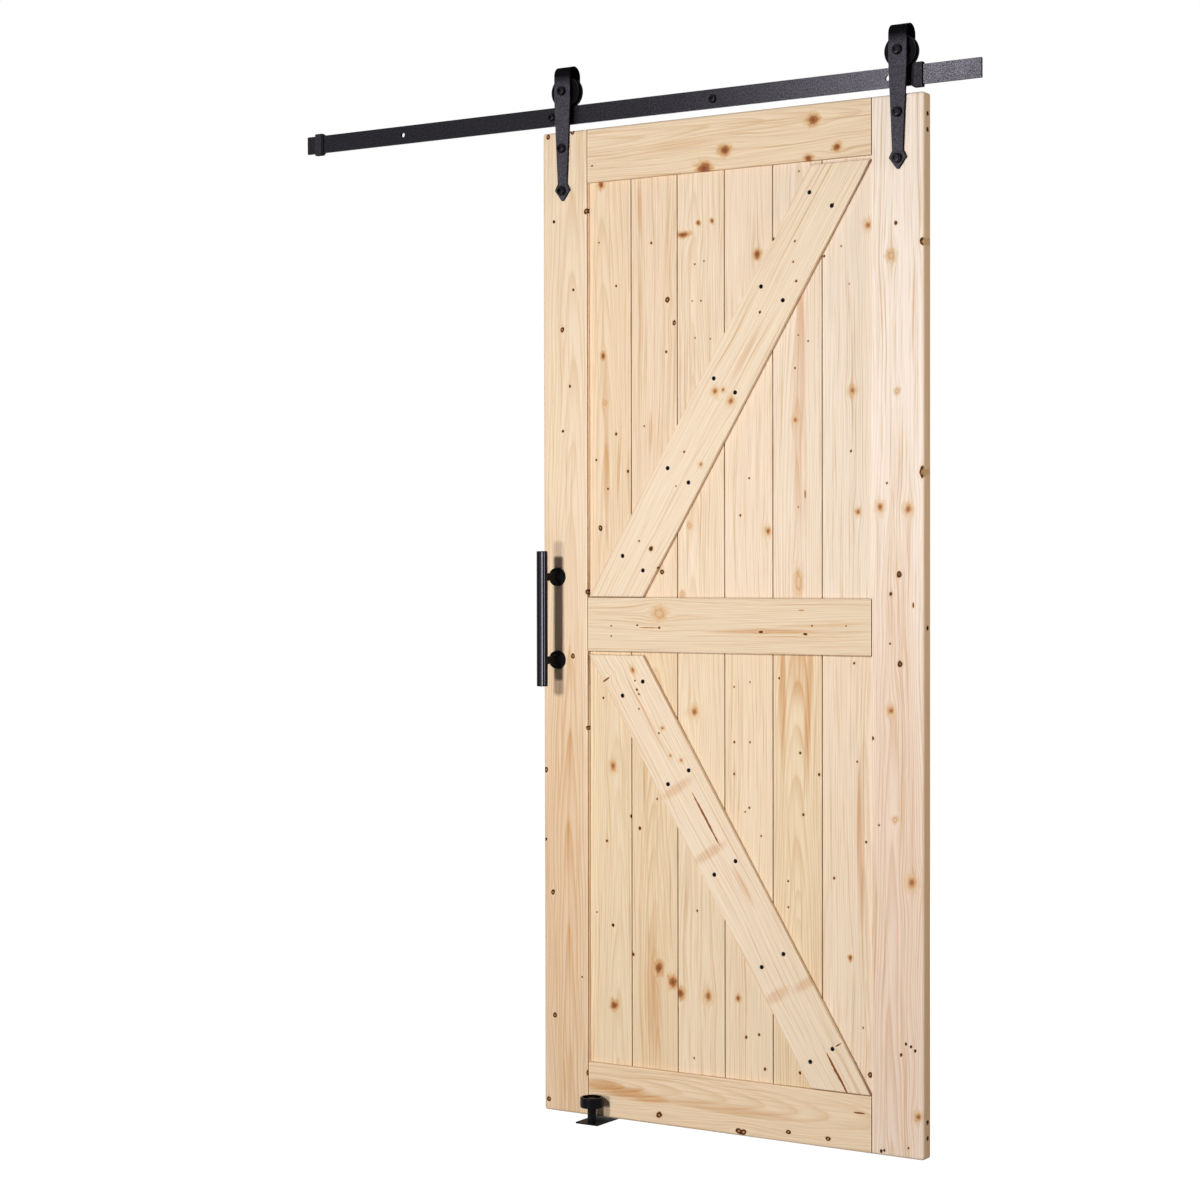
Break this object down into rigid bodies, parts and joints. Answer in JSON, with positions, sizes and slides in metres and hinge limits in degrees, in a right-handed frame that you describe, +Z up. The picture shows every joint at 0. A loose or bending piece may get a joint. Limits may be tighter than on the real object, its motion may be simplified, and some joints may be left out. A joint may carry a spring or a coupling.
{
  "type": "sliding barn door with track",
  "caption": "Plank sliding door with a K of braces, hung from a flat bar track by strap hangers on grooved wheels, with a bar pull and a floor roller guide.",
  "frame": {"origin": "middle of the wall side face of the right standoff, at half the track's height", "axes": "+X along the track to the right, +Y into the wall, +Z up"},
  "size_m": [1.7, 0.132, 2.2833],
  "materials": {
    "frame_wood": "planed spruce",
    "brace_wood": "planed spruce",
    "plank_wood": "planed spruce",
    "black_steel": "fine textured powder coat",
    "black_bolts": "satin black",
    "handle_black": "satin powder coat",
    "wheel_black": "satin black",
    "roller_black": "moulded nylon",
    "bumper_rubber": "matte"
  },
  "bodies": {
    "track": {"track_rail": "black_steel", "left_standoff": "black_steel", "right_standoff": "black_steel", "left_wall_bolt": "black_bolts", "right_wall_bolt": "black_bolts", "left_stop": "black_steel", "right_stop": "black_steel", "left_bumper": "bumper_rubber", "right_bumper": "bumper_rubber", "guide_plate": "black_steel", "guide_post": "black_steel"},
    "door": {"left_stile": "frame_wood", "right_stile": "frame_wood", "top_rail": "frame_wood", "middle_rail": "frame_wood", "bottom_rail": "frame_wood", "upper_brace": "brace_wood", "lower_brace": "brace_wood", "upper_plank_1": "plank_wood", "upper_plank_2": "plank_wood", "upper_plank_3": "plank_wood", "upper_plank_4": "plank_wood", "upper_plank_5": "plank_wood", "upper_plank_6": "plank_wood", "lower_plank_1": "plank_wood", "lower_plank_2": "plank_wood", "lower_plank_3": "plank_wood", "lower_plank_4": "plank_wood", "lower_plank_5": "plank_wood", "lower_plank_6": "plank_wood", "left_hanger": "black_steel", "right_hanger": "black_steel", "left_hanger_bolts": "black_bolts", "right_hanger_bolts": "black_bolts", "left_axle": "black_bolts", "right_axle": "black_bolts", "handle_bar": "handle_black", "handle_upper_post": "handle_black", "handle_lower_post": "handle_black"},
    "left_wheel": {"left_wheel": "wheel_black"},
    "right_wheel": {"right_wheel": "wheel_black"},
    "guide_roller": {"guide_roller": "roller_black"}
  },
  "joints": [
    {"name": "door_slide", "type": "slide", "parent": "track", "child": "door", "axis": [-1, 0, 0], "range_m": [0, 0.65]},
    {"name": "left_wheel_roll", "type": "hinge", "parent": "door", "child": "left_wheel", "pos_m": [-0.36697, -0.043, 0.0503], "axis": [0, -1, 0], "continuous": true},
    {"name": "right_wheel_roll", "type": "hinge", "parent": "door", "child": "right_wheel", "pos_m": [0.43643, -0.043, 0.0503], "axis": [0, -1, 0], "continuous": true},
    {"name": "guide_roller_spin", "type": "hinge", "parent": "track", "child": "guide_roller", "pos_m": [-0.27847, -0.08825, -2.17], "axis": [0, 0, 1], "continuous": true}
  ],
  "couplings": [
    {"joint": "left_wheel_roll", "follows": "door_slide", "rad_per_m": 33.003},
    {"joint": "right_wheel_roll", "follows": "door_slide", "rad_per_m": 33.003}
  ]
}
